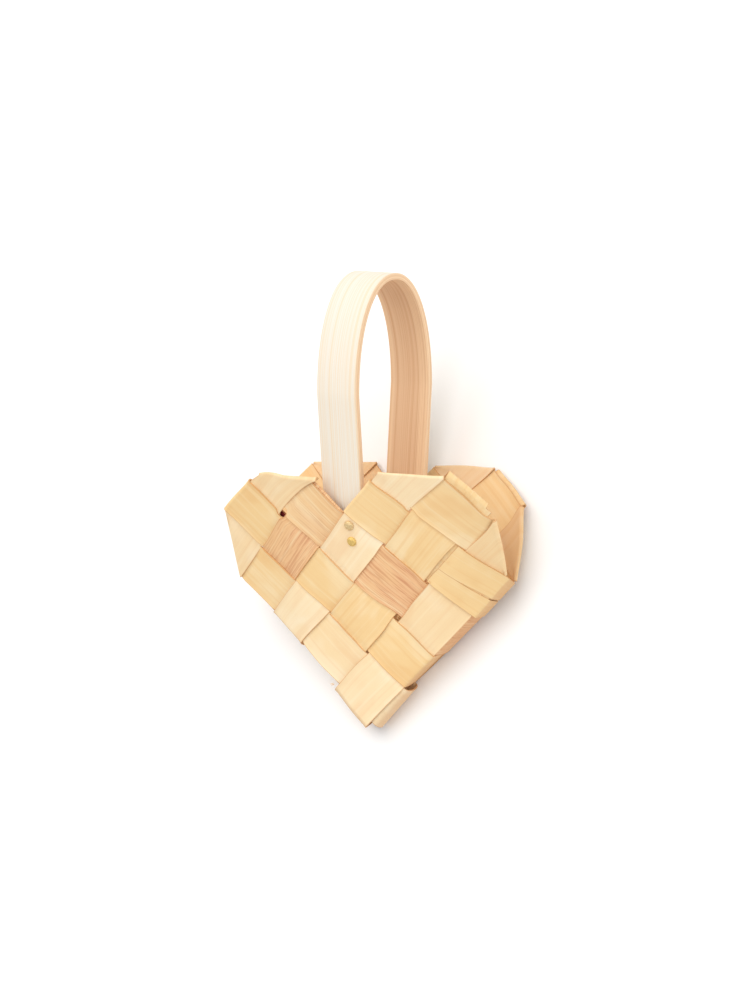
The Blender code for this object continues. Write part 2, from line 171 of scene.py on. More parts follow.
# Where the real basket's crossings stray from the even weave: s, t, then right and up in millimetres
STRAYS = {
    "front": (
        (0, 1, -1.5, -1.0), (1, 1, -0.5, -0.7), (0, 2, -2.4, 0.0), (0, 0, -0.86, -0.2), (-1, 1, -0.4, 0.0),
        (1, 3, -1.8, 0.0), (2, 2, 0.0, -0.7), (0, 3, 0.6, -0.3), (-1, 2, 1.0, -1.6), (1, 4, -2.0, -1.3),
        (2, 4, -1.6, 0.3), (2, 5, 0.3, -1.3), (3, 5, -1.5, -2.4), (2, 1, 1.7, 0.7), (2, 0, 0.0, 1.6),
        (3, 1, 1.2, 1.1), (3, 0, 2.3, 1.6), (4, 0, 1.4, 1.0), (4, 1, 1.2, 0.5), (4, 2, -0.6, -1.4),
        (3, 2, 1.0, 1.0), (4, 3, 0.7, -0.3), (4, 4, 0.7, 1.6),
    ),
    "back": (
        (1, 4, -1.3, -1.6), (2, 5, -1.0, -3.2), (3, 5, -2.6, -0.3), (1.5, 4.5, -0.5, -1.2), (4, 4, -1.4, -0.9),
        (-1, 2, 0.0, 0.7), (-1, 1, 0.2, 0.0),
    ),
}
STRAY_REACH = 0.55

# Painted shade, as a tan colour: how much of it the splints get on the back panel, for the dimmer light inside
# the basket, and round the V's edges, where the bends lie in shade
BACK_SHADE = 0.32
BACK_SHADES = {(True, 4): 0.1, (False, 3): 0.5}
WRAP_SHADE = 0.42

# Painted shade in the left lobe's hole, dark red on the turned-in end behind it: its place, where it fades and
# ends in metres, and its colour
HOLE_SHADE_PLACE = (0.0, 2.0)
HOLE_SHADE_REACH = (0.0055, 0.0035)
HOLE_SHADE_COLOUR = (0.14, 0.004, 0.008)
WOOD_SHINE = 0.3

DOWN_LEFT, RIGHT, UP = ((x / sqrt(2.0), y / sqrt(2.0)) for x, y in ((-1, -1), (1, 1), (-1, 1)))


class SplintSettings(bpy.types.PropertyGroup):
    """Sizes and colours of the splints."""

    thickness: FloatProperty(
        name="Thickness", description="Thickness of a splint", default=0.0007, min=0.0002, unit="LENGTH"
    )
    crown: FloatProperty(
        name="Crown", description="How far a splint bows out over a crossing", default=0.00028, unit="LENGTH"
    )
    yellow: FloatVectorProperty(
        name="Yellow", description="Colour of the yellow splints", size=3, subtype="COLOR",
        default=(0.84, 0.59, 0.29)
    )
    cream: FloatVectorProperty(
        name="Cream", description="Colour of the palest splints", size=3, subtype="COLOR",
        default=(0.89, 0.7, 0.44)
    )
    brown: FloatVectorProperty(
        name="Brown", description="Colour of the brown splints", size=3, subtype="COLOR",
        default=(0.79, 0.46, 0.24)
    )
    fibre_seed: IntProperty(name="Fibre seed", description="Seed of the frayed fibres", default=4)
    fibre_length: FloatProperty(
        name="Fibre length", description="Longest frayed fibre", default=0.0026, unit="LENGTH"
    )


class HandleSettings(bpy.types.PropertyGroup):
    """Sizes and colours of the bentwood handle."""

    width: FloatProperty(name="Width", description="Width of the band", default=0.0238, unit="LENGTH")
    thickness: FloatProperty(
        name="Thickness", description="Thickness of the band", default=0.00345, unit="LENGTH"
    )
    rounding: FloatProperty(
        name="Rounding", description="Radius of the band's worn edges", default=0.0005, unit="LENGTH"
    )
    colour: FloatVectorProperty(
        name="Colour", description="Colour of the planed wood", size=3, subtype="COLOR",
        default=(0.785, 0.725, 0.635)
    )
    inner_colour: FloatVectorProperty(
        name="Inner colour", description="Colour of the band's inside and edges", size=3, subtype="COLOR",
        default=(0.88, 0.64, 0.41)
    )


class TackSettings(bpy.types.PropertyGroup):
    """Sizes and colour of the brass tacks."""

    head_radius: FloatProperty(
        name="Head radius", description="Radius of a tack's head", default=0.0025, unit="LENGTH"
    )
    head_height: FloatProperty(
        name="Head height", description="Height of a tack's head", default=0.00115, unit="LENGTH"
    )
    colour: FloatVectorProperty(
        name="Colour", description="Colour of the brass", size=3, subtype="COLOR", default=(0.9, 0.66, 0.24)
    )


class StudioSettings(bpy.types.PropertyGroup):
    """Floor and light."""

    floor_colour: FloatVectorProperty(
        name="Floor colour", description="Colour of the floor", size=3, subtype="COLOR",
        default=(0.95, 0.95, 0.95)
    )
    key_power: FloatProperty(name="Key light", description="Power of the key light", default=17.0, unit="POWER")
    sky: FloatProperty(name="Sky light", description="Strength of the light all round", default=0.64)


def clamp(x, low=0.0, high=1.0):
    return min(max(x, low), high)


def ease(x):
    """Smooth step from 0 to 1."""
    x = clamp(x)
    return x * x * (3.0 - 2.0 * x)


def mix(a, b, u):
    """Straight blend of two numbers or tuples."""
    if isinstance(a, tuple):
        return tuple(mix(p, q, u) for p, q in zip(a, b))
    return a + (b - a) * u


def lying_matrix():
    """From the upright millimetre frame to the lying metre frame."""
    lay = Matrix.Rotation(radians(-90.0 + LIE_TILT), 4, "X")
    roll = Matrix.Rotation(radians(LIE_ROLL), 4, "Y")
    return Matrix.Translation(LIE_SHIFT * 0.001) @ Matrix.Scale(0.001, 4) @ roll @ lay


PLACE = lying_matrix()


def line_position(lines, value, first):
    """Position of a woven line, straight between the whole ones."""
    i = min(max(int((value - first) // 1), 0), len(lines) - 2)
    return lines[i] + (value - first - i) * (lines[i + 1] - lines[i])


def surface(side, s, t):
    """A point of a panel's middle surface; s runs down the falling lines, t up the rising ones."""
    whole_s, whole_t = s, t
    s = line_position(FALLING, s, -1)
    t = line_position(RISING, t, 0)
    x, z = (s + t - 4.0) / sqrt(2.0), (4.0 - s + t) / sqrt(2.0)
    for s_0, t_0, right, up in STRAYS[side]:
        away = ((whole_s - s_0) ** 2 + (whole_t - t_0) ** 2) / STRAY_REACH**2
        if away < 9.0:
            x += exp(-away) * right / PITCH
            z += exp(-away) * up / PITCH
    c = FRONT_DEPTH if side == "front" else BACK_DEPTH
    depth = c[0] + c[1] * z + c[2] * z * z + (c[3] + c[4] * z) * x * x
    depth += (c[5] + c[6] * z) * x + c[7] * x**4 + c[8] * x**3
    slope = 2.0 * (c[3] + c[4] * z) * x + 4.0 * c[7] * x**3
    x_bent = x * (1.0 - slope * slope / 6.0)
    z_bent = z * (1.0 - c[1] ** 2 / 2.0)
    if side == "front":
        return PITCH * Vector((x_bent, -depth, z_bent))
    return PITCH * Vector((x_bent + BACK_SHIFT[0] * z, depth, z_bent + BACK_SHIFT[1] * z))


def frame_at(side, s, t):
    """Tangents along s and t and the normal, which points to the front on both panels."""
    step = 0.2
    along_s = (surface(side, s + step, t) - surface(side, s - step, t)).normalized()
    along_t = (surface(side, s, t + step) - surface(side, s, t - step)).normalized()
    normal = along_t.cross(along_s).normalized()
    if normal.y > 0.0:
        normal.negate()
    return along_s, along_t, normal


def point(side, s, t, level):
    """A point at a level in front of a panel's middle surface."""
    return surface(side, s, t) + frame_at(side, s, t)[2] * level


def uneven(x, y, seed, size):
    """Smooth unevenness between -1 and 1."""
    return noise.noise(Vector((x / size, y / size, seed * 7.31)))


# Worn places of a front splint's edge, by falling, index and edge: run, then depth and reach in millimetres
WORN_EDGES = {
    (True, 0, 1): ((3.0, 0.9, 6.0), (2.0, 0.5, 5.0)),
    (True, 1, 1): ((-0.02, 2.0, 2.6), (3.0, 1.3, 9.0)),
    (True, 2, -1): ((-0.02, 3.0, 2.6), (3.0, 1.3, 9.0)),
    (True, 2, 1): ((3.0, 0.8, 5.0), (0.4, 1.3, 16.0)),
    (True, 3, -1): ((2.0, 0.7, 5.0),),
    (True, 3, 1): ((2.0, 0.9, 3.0),),
    (True, 4, -1): ((2.0, 0.8, 3.0),),
    (True, 4, 1): ((2.9, 1.0, 9.0),),
    (False, -1, 1): ((2.0, 1.1, 2.9),),
    (False, 0, -1): ((2.0, 1.4, 2.9),),
    (False, 1, 1): ((3.0, 0.6, 5.0),),
    (False, 2, 1): ((2.0, 1.0, 9.0), (3.6, 2.6, 24.0)),
    (False, 3, -1): ((4.0, 2.4, 3.0), (2.0, 1.4, 9.0), (1.0, 0.9, 6.0)),
}
STEEP_REACH = 4.0       # a worn place shorter than this has steeper ends


def lift_at(cross):
    """How much of the edge's lift there is at a cross position."""
    c = cross % 1.0
    return 1.0 - ease(min(c, 1.0 - c) / EDGE_REACH)


class Row:
    """One row of points across a splint, with its tone: pale, brown, and tan that is mostly painted shade."""

    def __init__(self, points, tone):
        self.points = points
        self.tone = tone


class Strip:
    """A straight stretch of a splint on one panel; a flip of -1 turns it over."""

    def __init__(self, side, falling, index, flip=1):
        self.side, self.falling, self.index, self.flip = side, falling, index, flip

    def spot(self, run, across):
        """s and t of a place along and across it."""
        return (run, across) if self.falling else (across, run)

    def nearer(self, cell):
        """1 where it is the nearer splint at a crossing, else -1; the crossings take turns."""
        return (1 if self.falling else -1) * (1 if (cell + self.index) % 2 == 0 else -1)

    def inset(self, edge, run):
        """How far an edge stands back from its line, in pitches."""
        seed = self.index + 5 * self.falling
        depth = ROUGH_EDGE * uneven(run * PITCH, 0.0, seed + 11 * edge, 9.0)
        depth += 0.35 * ROUGH_EDGE * uneven(run * PITCH, 3.0, seed + 17 * edge, 1.6)
        if self.side == "front":
            for place, worn, reach in WORN_EDGES.get((self.falling, self.index, edge), ()):
                depth += worn * exp(-(((run - place) * PITCH / reach) ** (4 if reach < STEEP_REACH else 2)))
        return SPLINT_GAP + depth / PITCH

    def crosses(self, run):
        """Cross positions of its columns at a place of its run."""
        low, high = 0.5 - self.inset(-1, run), 0.5 - self.inset(1, run)
        turned = [self.flip * c for c in COLUMNS]
        return [self.index + 0.5 + c * (high if c > 0.0 else low) for c in turned]

    def level(self, cell, f, cross, crown, dives=(True, True)):
        """Its level in a crossing, f of the way through it; dives says which ends dive."""
        dive, turn = 1.0, 1.0
        for share, dives_here in zip((f, 1.0 - f), dives):
            if dives_here:
                dive *= ease(share / DIVE)
                turn *= ease(share / CORNER_STEP)
        level = NEAR_LEVEL * dive + EDGE_LIFT * lift_at(cross) * turn
        level += crown * sin(pi * clamp(f)) ** 2 * (1.0 - ((cross % 1.0) * 2.0 - 1.0) ** 4 * 0.4)
        seed = self.index + 3 * self.falling
        return self.nearer(cell) * level + WOBBLE * uneven(cell + f, cross, seed, 0.7)

    def tone(self, run):
        """Its tone at a place of its run, with painted shade on the back panel for the dimmer light inside the
        basket.
        """
        key = self.falling, self.index
        tan_and_shade = BACK_SHADES.get(key, BACK_SHADE) if self.side == "back" else 0.0
        return (*mix(*STRIP_TONES[key], clamp(run / 4.0)), tan_and_shade)

    def row(self, runs, crosses, levels, tone):
        """A row from runs, cross positions and levels."""
        places = zip(runs, crosses, levels)
        return Row([point(self.side, *self.spot(run, across), level) for run, across, level in places], tone)

    def crossings(self, crown, *cells):
        """Rows over whole crossings, in the order given; ends at the V's edge stay level."""
        rows = []
        edge_cell = 3 if self.falling else 0
        for cell in cells:
            dives = (self.falling or cell != edge_cell, not self.falling or cell != edge_cell)
            shares = [i / ROWS_PER_CELL for i in range(ROWS_PER_CELL)]
            if cells[-1] < cells[0]:
                shares = [1.0 - f for f in shares]
            for f in shares:
                run = cell + f
                crosses = self.crosses(run)
                levels = [self.level(cell, f, c, crown, dives) for c in crosses]
                rows.append(self.row([run] * len(crosses), crosses, levels, self.tone(run)))
        return rows

    def tuck(self, edge, inward, radius):
        """Rows of an end turned over the rim, from its free end up to the rim."""
        place = self.side, self.falling, self.index
        crosses = whole = self.crosses(edge)
        sign = self.nearer(int((edge + 0.5 * inward) // 1))
        top = sign * NEAR_LEVEL
        run_end = edge + inward * (LONG_TUCK if place == ("front", True, 1) else TUCK_LENGTH)
        tone = self.tone(edge)
        # the turned-in rows inside the basket take full painted shade, which also carries the painted shade of
        # the left lobe's hole
        inside = (*tone[:2], 1.0)
        if place == ("front", False, 2):
            crosses = [c - ROLL_CUT * (c - self.index) for c in crosses]
        rows = []
        for i in range(FOLD_ROWS):
            u = i / FOLD_ROWS
            runs = [mix(run_end, edge, u) + ROUGH_END * uneven(c, 0.0, self.index, 0.2) for c in crosses]
            level = mix(TUCK_LEVEL, top - 2.0 * radius, ease(u))
            rows.append(self.row(runs, crosses, [level] * len(crosses), inside))
        for i in range(FOLD_STEPS + 1):
            angle = pi * i / FOLD_STEPS
            if i == FOLD_STEPS:
                crosses = whole
            runs = [edge - inward * sin(angle) * radius / PITCH] * len(crosses)
            lift = sign * EDGE_LIFT * ease(i / FOLD_STEPS)
            levels = [top - radius - radius * cos(angle) + lift * lift_at(c) for c in crosses]
            rows.append(self.row(runs, crosses, levels, mix(inside, tone, ease(2.5 * i / FOLD_STEPS))))
        return rows


# Each fold: the levels of its in-leg at the crease's two ends, then those of its out-leg, how far the two ends
# stray along s and t, in pitches, and how far the out-leg's free edge bows out
FOLDS = {
    ("front", "left side"): (-0.3, -0.7, 0.9, 0.5, (0.0, 0.0), (0.03, 0.03), 0.0),
    ("front", "left top"): (0.4, 1.9, -0.2, -0.4, (0.1, 0.26), (0.165, 0.165), 0.0),
    ("front", "right top"): (0.4, 1.0, -0.2, -0.5, (0.0, 0.2), (0.02, 0.02), 0.0),
    ("front", "right side"): (-0.9, -0.5, 0.5, 1.9, (-0.03, -0.03), (0.03, 0.03), 0.02),
    ("back", "left side"): (-0.3, -0.7, 0.8, 0.4, (0.0, 0.0), (0.0, 0.0), 0.0),
    ("back", "left top"): (0.5, 1.4, -0.4, -0.5, (0.0, 0.0), (0.0, 0.0), 0.0),
    ("back", "right top"): (0.5, 1.4, -0.4, -0.5, (0.0, 0.0), (0.0, 0.0), 0.0),
    ("back", "right side"): (-0.8, -0.6, 0.5, 1.6, (0.0, 0.0), (0.0, 0.0), 0.05),
}


def fold_rows(name, strip_in, start, strip_out, end, fold_at, outward):
    """Rows of a slanting fold, from one strip's run at start to another's at end."""
    side = strip_in.side
    crosses, crosses_out = strip_in.crosses(start), strip_out.crosses(end)
    low_in, high_in, low_out, high_out, stray_0, stray_1, bow = FOLDS[side, name]
    shares = [c - strip_in.index for c in crosses]
    strays = [tuple(p * (1.0 - k) ** 2 + q * k * k for p, q in zip(stray_0, stray_1)) for k in shares]
    if (side, name) == ("front", "left top"):
        swells = [ROUND_SWELL * sin(pi * clamp(2.0 * k)) for k in shares]
        strays = [(ds + outward[0] * b, dt + outward[1] * b) for (ds, dt), b in zip(strays, swells)]
    folds = [fold_at(c) for c in crosses]

    def leg_row(strip, edge_run, edge_crosses, far_runs, far_crosses, u, ends, tone):
        """A row of a leg, u of the way to the crease."""
        runs, across, levels = [], [], []
        for c, far, goal, k, stray, level in zip(edge_crosses, far_runs, far_crosses, shares, strays, ends):
            ds, dt = stray if strip.falling else stray[::-1]
            runs.append(edge_run + (far - edge_run) * u + ds * u)
            across.append(c + (goal + dt - c) * u ** (1.0 + FAN * k))
            rest = clamp(level, -FLAT_LEVEL, FLAT_LEVEL)
            near_crease = (level - rest) * u**3
            levels.append(rest * ease(u * abs(far - edge_run) / RISE_RUN + u * u) + near_crease)
        return strip.row(runs, across, levels, tone)

    levels_in = [mix(low_in, high_in, k) for k in shares]
    levels_out = [mix(low_out, high_out, k) for k in shares]
    tone_in, tone_out = strip_in.tone(start), strip_out.tone(end)
    rows = []
    for i in range(FOLD_ROWS + 1):
        rows.append(leg_row(strip_in, start, crosses, folds, crosses, i / FOLD_ROWS, levels_in, tone_in))
    for i in range(1, FOLD_STEPS):
        angle = pi * i / FOLD_STEPS
        points = []
        for f, c, (ds, dt), p, q in zip(folds, crosses, strays, levels_in, levels_out):
            level = (p + q) / 2.0 + (p - q) / 2.0 * cos(angle)
            reach = sin(angle) * abs(p - q) / 2.0 / PITCH
            s, t = strip_in.spot(f, c)
            points.append(point(side, s + ds + outward[0] * reach, t + dt + outward[1] * reach, level))
        rows.append(Row(points, mix(tone_in, tone_out, i / FOLD_STEPS)))
    for i in range(FOLD_ROWS, -1, -1):
        u = i / FOLD_ROWS
        across = [c - strip_out.flip * bow * sin(pi * u**1.5) * k * k for c, k in zip(crosses_out, shares)]
        rows.append(leg_row(strip_out, end, across, crosses, folds, u, levels_out, tone_out))
    return rows[1:-1]


def wrap_rows(strip, row_0, row_1, crosses=None):
    """Rows of the bend round an edge of the V, from the strip's own panel to the other one."""
    falling, index = strip.falling, strip.index
    bulge, reach, twist = (WRAP_FALLING if falling else WRAP_RISING)[index]
    run, out, way = (4.0, 1.0, 0) if falling else (0.0, -1.0, 1)
    crosses = crosses or Strip("front", falling, index, strip.flip).crosses(run)
    sides = ("front", "back") if strip.side == "front" else ("back", "front")
    pulls = [[frame_at(side, *strip.spot(run, c))[way] * out for c in crosses] for side in sides]
    ends = [
        [p + d * reach * PITCH for p, d in zip(row.points, pull)] for row, pull in zip((row_0, row_1), pulls)
    ]
    rows = []
    for i in range(0 if reach else 1, WRAP_STEPS + (1 if reach else 0)):
        u = i / WRAP_STEPS
        v = 1.0 - u
        points = []
        for c, p, d, q, e in zip(crosses, ends[0], pulls[0], ends[1], pulls[1]):
            size = bulge * (1.0 + twist * (0.5 - c + index)) * 4.0 / 3.0
            d, e = d * size, e * size
            points.append(v**3 * p + 3.0 * v * v * u * (p + d) + 3.0 * v * u * u * (q + e) + u**3 * q)
        pale, brown, tan_and_shade = mix(row_0.tone, row_1.tone, u)
        # painted shade on the middle of the bend round the V's edge, where it lies in shade
        rows.append(Row(points, (pale, brown, tan_and_shade + WRAP_SHADE * clamp(5.0 * min(u, v)))))
    return rows


def left_loop_side(side, crown):
    """One panel's rows of the splint that makes the left lobe's outer border."""
    first, middle, last = Strip(side, True, 0), Strip(side, False, -1, -1), Strip(side, True, 2, -1)
    rows = first.crossings(crown, 3, 2, 1, 0)
    rows += fold_rows("left side", first, 0.0, middle, 1.0, lambda c: -c, DOWN_LEFT)
    rows += middle.crossings(crown, 1)
    rows += fold_rows("left top", middle, 2.0, last, 0.0, lambda c: c + 3.0, UP)
    return rows + last.crossings(crown, 0, 1, 2, 3)


def right_loop_side(side, crown):
    """One panel's rows of the splint that makes the right lobe's outer border."""
    first, middle, last = Strip(side, False, 1), Strip(side, True, 4), Strip(side, False, 3, -1)
    rows = first.crossings(crown, 0, 1, 2, 3)
    rows += fold_rows("right top", first, 4.0, middle, 2.0, lambda c: c + 3.0, UP)
    rows += middle.crossings(crown, 2)
    rows += fold_rows("right side", middle, 3.0, last, 4.0, lambda c: 8.0 - c, RIGHT)
    return rows + last.crossings(crown, 3, 2, 1, 0)


def single_side(strip, edge, inward, radius, cells, crown):
    """One panel's rows of a splint that ends in a turned-in end at the rim."""
    first = cells[0] if inward > 0 else cells[0] + 1
    keep = int(max(0.0, (edge - first) * inward) * ROWS_PER_CELL) + 2
    return strip.tuck(edge, inward, radius) + strip.crossings(crown, *cells)[keep:]


def ribbon_mesh(name, rows, closed=False, seam=0, columns=COLUMNS):
    """A mesh through rows of points, with a map along and across the grain, in metres."""
    if closed:
        rows = rows[seam:] + rows[:seam]
    width = len(columns)
    verts = [PLACE @ p for row in rows for p in row.points]
    count = len(rows)
    along = [[0.0] * width]
    for i in range(1, count + (1 if closed else 0)):
        row, last = (i % count) * width, (i - 1) * width
        along.append([along[-1][j] + (verts[row + j] - verts[last + j]).length for j in range(width)])
    across = [0.0]
    middle = count // 2 * width
    for j in range(1, width):
        across.append(across[-1] + (verts[middle + j] - verts[middle + j - 1]).length)
    half = across[-1] / 2.0
    faces, grain = [], []
    for i in range(count if closed else count - 1):
        n = (i + 1) % count
        for j in range(width - 1):
            faces.append((i * width + j, i * width + j + 1, n * width + j + 1, n * width + j))
            for a, b in ((i, j), (i, j + 1), (i + 1, j + 1), (i + 1, j)):
                grain.append((along[a][b], across[b] - half))
    mesh = bpy.data.meshes.new(name)
    mesh.from_pydata(verts, [], faces)
    layer = mesh.uv_layers.new(name="grain")
    layer.data.foreach_set("uv", [x for pair in grain for x in pair])
    tones = mesh.attributes.new("tone", "FLOAT_COLOR", "POINT")
    tones.data.foreach_set("color", [x for row in rows for c in columns for x in (*row.tone[:2], abs(c), 1.0)])
    tans = mesh.attributes.new("tan_and_shade", "FLOAT", "POINT")
    tans.data.foreach_set("value", [row.tone[2] for row in rows for _ in columns])
    mesh.shade_smooth()
    return mesh


class Value:
    """A node's output that Python's own operators work on."""

    def __init__(self, nodes, socket):
        self.nodes = nodes
        self.socket = socket

    def output(self, number):
        """Another output of the same node."""
        return Value(self.nodes, self.socket.node.outputs[number])

    def _math(self, operation, *values):
        return self.nodes.node("ShaderNodeMath", {"operation": operation}, dict(enumerate(values)))

    def __add__(self, other):
        return self._math("ADD", self, other)

    def __mul__(self, other):
        return self._math("MULTIPLY", self, other)

    __radd__, __rmul__ = __add__, __mul__

    def __sub__(self, other):
        return self._math("SUBTRACT", self, other)

    def __rsub__(self, other):
        return self._math("SUBTRACT", other, self)

    def __truediv__(self, other):
        return self._math("DIVIDE", self, other)

    def absolute(self):
        return self._math("ABSOLUTE", self)

    def step(self, low, high):
        """Smooth step from 0 at low to 1 at high."""
        settings = {"interpolation_type": "SMOOTHSTEP"}
        return self.nodes.node("ShaderNodeMapRange", settings, {0: self, 1: low, 2: high, 3: 0.0, 4: 1.0})


class Nodes:
    """A node tree, and the one method that adds its nodes."""

    def __init__(self, tree):
        self.tree = tree

    def node(self, kind, settings=None, values=None, output=0):
        """Adds a node: its settings first, then the values or links of its sockets."""
        made = self.tree.nodes.new(kind)
        for key, value in (settings or {}).items():
            setattr(made, key, value)
        for key, value in (values or {}).items():
            self.join(value, made.inputs[key])
        return Value(self, made.outputs[output])

    def join(self, value, socket):
        """Sets a socket to a value or links it."""
        if isinstance(value, Value):
            self.tree.links.new(value.socket, socket)
        else:
            socket.default_value = value


class Shader(Nodes):
    """A material and the nodes in it."""

    def __init__(self, name):
        self.material = bpy.data.materials.new(name)
        self.material.use_nodes = True
        super().__init__(self.material.node_tree)
        self.surface = self.tree.nodes["Principled BSDF"]

    def blend(self, factor, first, second):
        """Mix of two colours."""
        colours = [c if isinstance(c, Value) else (*c, 1.0) for c in (first, second)]
        values = {0: factor, 6: colours[0], 7: colours[1]}
        return self.node("ShaderNodeMix", {"data_type": "RGBA"}, values, 2)

    def layers(self, base, *coats):
        """Blends each coat's colour over the base by the coat's factor."""
        for factor, colour in coats:
            base = self.blend(factor, base, colour)
        return base

    def places(self):
        """Places in the piece's own coordinates, in metres."""
        return self.node("ShaderNodeTexCoord", None, None, 3)

    def cloud(self, place, detail=2.0, rough=0.5, warp=0.0):
        """Noise between 0 and 1 at a place."""
        values = {"Vector": place, "Scale": 1.0, "Detail": detail, "Roughness": rough, "Distortion": warp}
        return self.node("ShaderNodeTexNoise", None, values)

    def speckle(self, scale):
        """Noise of one scale all over the piece."""
        values = {0: self.places(), 3: scale}
        return self.cloud(self.node("ShaderNodeVectorMath", {"operation": "SCALE"}, values))

    def grain(self, along, across, seed, *look):
        """Noise drawn out along the grain."""
        return self.cloud(self.node("ShaderNodeCombineXYZ", None, {0: along, 1: across, 2: seed}), *look)

    def finish(self, colour, roughness, bump, depth):
        """Feeds the surface: colour, roughness and a bump of a depth in metres."""
        self.join(colour, self.surface.inputs["Base Color"])
        self.join(roughness, self.surface.inputs["Roughness"])
        values = {"Strength": 1.0, "Distance": depth, "Height": bump}
        self.join(self.node("ShaderNodeBump", None, values), self.surface.inputs["Normal"])
        return self.material


def grain_places(shader):
    """Places along and across the grain, in millimetres."""
    split = shader.node("ShaderNodeSeparateXYZ", None, {0: shader.node("ShaderNodeUVMap", {"uv_map": "grain"})})
    return split * 1000.0, split.output(1) * 1000.0


def splint_wood(name, settings, seed):
    """Raw split wood: tone by splint, streaks and fibres along the grain, cut edges darker partly by their own
    colour and partly as painted shadow lines, and painted shade.
    """
    shader = Shader(name)
    along, across = grain_places(shader)
    tone = shader.node("ShaderNodeAttribute", {"attribute_name": "tone"})
    pale = shader.node("ShaderNodeSeparateColor", None, {0: tone})
    brown, rim = pale.output(1), pale.output(2)
    tan_and_shade = shader.node("ShaderNodeAttribute", {"attribute_name": "tan_and_shade"}, None, 2)
    drift = shader.grain(along / 55.0, across / 30.0, seed, 1.0) - 0.5
    bent = across + drift * 3.5
    bands = shader.grain(along / 220.0, bent / 3.0, seed + 3.0, 2.0, 0.55)
    lines = shader.grain(along / 90.0, bent / 0.8, seed + 5.0, 2.0, 0.6)
    streaks = shader.grain(along / 20.0, (across + drift * 1.2) / 0.85, seed + 6.0, 3.0, 0.6, 0.3)
    fibres = shader.grain(along / 5.0, across / 0.2, seed + 9.0, 2.0, 0.6)
    patches = shader.grain(along / 30.0, across / 17.0, seed + 1.0, 2.0)
    warm = shader.blend(pale, (0.79, 0.5, 0.22), (0.85, 0.6, 0.35))
    light = shader.blend(pale, (0.88, 0.68, 0.4), (0.92, 0.77, 0.54))
    plain = shader.layers(
        shader.blend(pale, settings.yellow, settings.cream),
        (patches.step(0.5, 0.66) * 0.8, light),
        (patches.step(0.47, 0.3) * 0.65, warm),
        (bands.step(0.48, 0.36) * 0.4, light),
        (bands.step(0.54, 0.66) * 0.4 + lines.step(0.58, 0.7) * 0.25, warm),
    )
    dark = shader.layers(
        settings.brown, (bands.step(0.53, 0.38) * 0.7, (0.86, 0.62, 0.36)),
        (streaks.step(0.46, 0.62) * 0.75, (0.58, 0.25, 0.12)),
    )
    centre = tuple(PLACE @ point("front", *HOLE_SHADE_PLACE, TUCK_LEVEL))
    away = shader.node("ShaderNodeVectorMath", {"operation": "DISTANCE"}, {0: shader.places(), 1: centre}, 1)
    colour = shader.layers(
        plain,
        (brown * (patches.step(0.3, 0.6) * 0.4 + 0.6), dark),
        # tan colour, mostly painted shade: on the back panel, round the V's edges, on the turned-in ends, and
        # at the split ply's torn start
        (tan_and_shade, (0.62, 0.33, 0.15)),
        # painted shade: the dark red of the left lobe's hole, on the turned-in end seen through it
        (tan_and_shade.step(0.8, 1.0) * away.step(*HOLE_SHADE_REACH), HOLE_SHADE_COLOUR),
        (fibres.step(0.5, 0.8) * 0.12, (0.68, 0.4, 0.2)),
        # cut edges darker: partly their own colour, partly painted shadow lines along the free edges
        (rim.step(0.965, 0.995) * 0.6, (0.6, 0.28, 0.1)),
    )
    rough = 0.52 + fibres * 0.16 + streaks * 0.06
    shader.surface.inputs["Specular IOR Level"].default_value = WOOD_SHINE
    return shader.finish(colour, rough, fibres * 0.6 + streaks * 0.3 + lines * 0.3, 0.00005)


def handle_wood(settings):
    """Planed and bent wood: near white outside, tan inside, with fine straight grain."""
    shader = Shader("bentwood")
    along, across = grain_places(shader)
    outline = shader.node("ShaderNodeAttribute", {"attribute_name": "outline"}, None, 1)
    depth = shader.node("ShaderNodeSeparateXYZ", None, {0: outline}, 1)
    outside = (depth * -1000.0).step(1.3, 1.7)
    drift = shader.grain(along / 90.0, across / 25.0, 2.0, 1.0) - 0.5
    bent = across + drift * 2.0
    bands = shader.grain(along / 500.0, bent / 2.2, 4.0, 2.0, 0.6)
    lines = shader.grain(along / 300.0, bent / 0.5, 5.0, 1.0)
    streaks = shader.grain(along / 160.0, bent / 0.45, 6.0, 3.0, 0.6)
    fibres = shader.grain(along / 6.0, across / 0.2, 8.0, 2.0, 0.6)
    dark = shader.blend(outside, (0.64, 0.36, 0.19), (0.78, 0.6, 0.37))
    colour = shader.layers(
        shader.blend(outside, settings.inner_colour, settings.colour),
        (across.absolute().step(9.5, 7.0) * (1.0 - outside) * 0.5, (0.68, 0.43, 0.26)),
        (bands.step(0.5, 0.66) * 0.5, dark),
        (lines.step(0.48, 0.62) * 0.4, dark),
        (streaks.step(0.54, 0.68) * 0.65, dark),
        (fibres.step(0.52, 0.85) * 0.12, (0.6, 0.38, 0.2)),
    )
    shader.surface.inputs["Specular IOR Level"].default_value = WOOD_SHINE
    return shader.finish(colour, 0.54 + fibres * 0.15, fibres * 0.5 + streaks * 0.4, 0.00004)


def tack_brass(settings):
    """Brass, slightly hammered and dulled; the upper tacks are the paler ones."""
    shader = Shader("brass")
    place = shader.places()
    dents = shader.node("ShaderNodeTexVoronoi", {"feature": "F1"}, {"Vector": place, "Scale": 1700.0})
    high = shader.node("ShaderNodeSeparateXYZ", None, {0: place}, 1)
    between = (PLACE @ point("front", *mix(*FRONT_TACKS, 0.5), 0.0)).y
    shader.surface.inputs["Metallic"].default_value = 1.0
    colour = shader.layers(
        settings.colour,
        (high.step(between - 0.001, between + 0.001), (0.88, 0.69, 0.4)),
        (dents.step(0.3, 0.6) * 0.35, (0.42, 0.28, 0.11)),
    )
    return shader.finish(colour, 0.5 + shader.speckle(900.0) * 0.25, dents * -1.0, 0.00016)


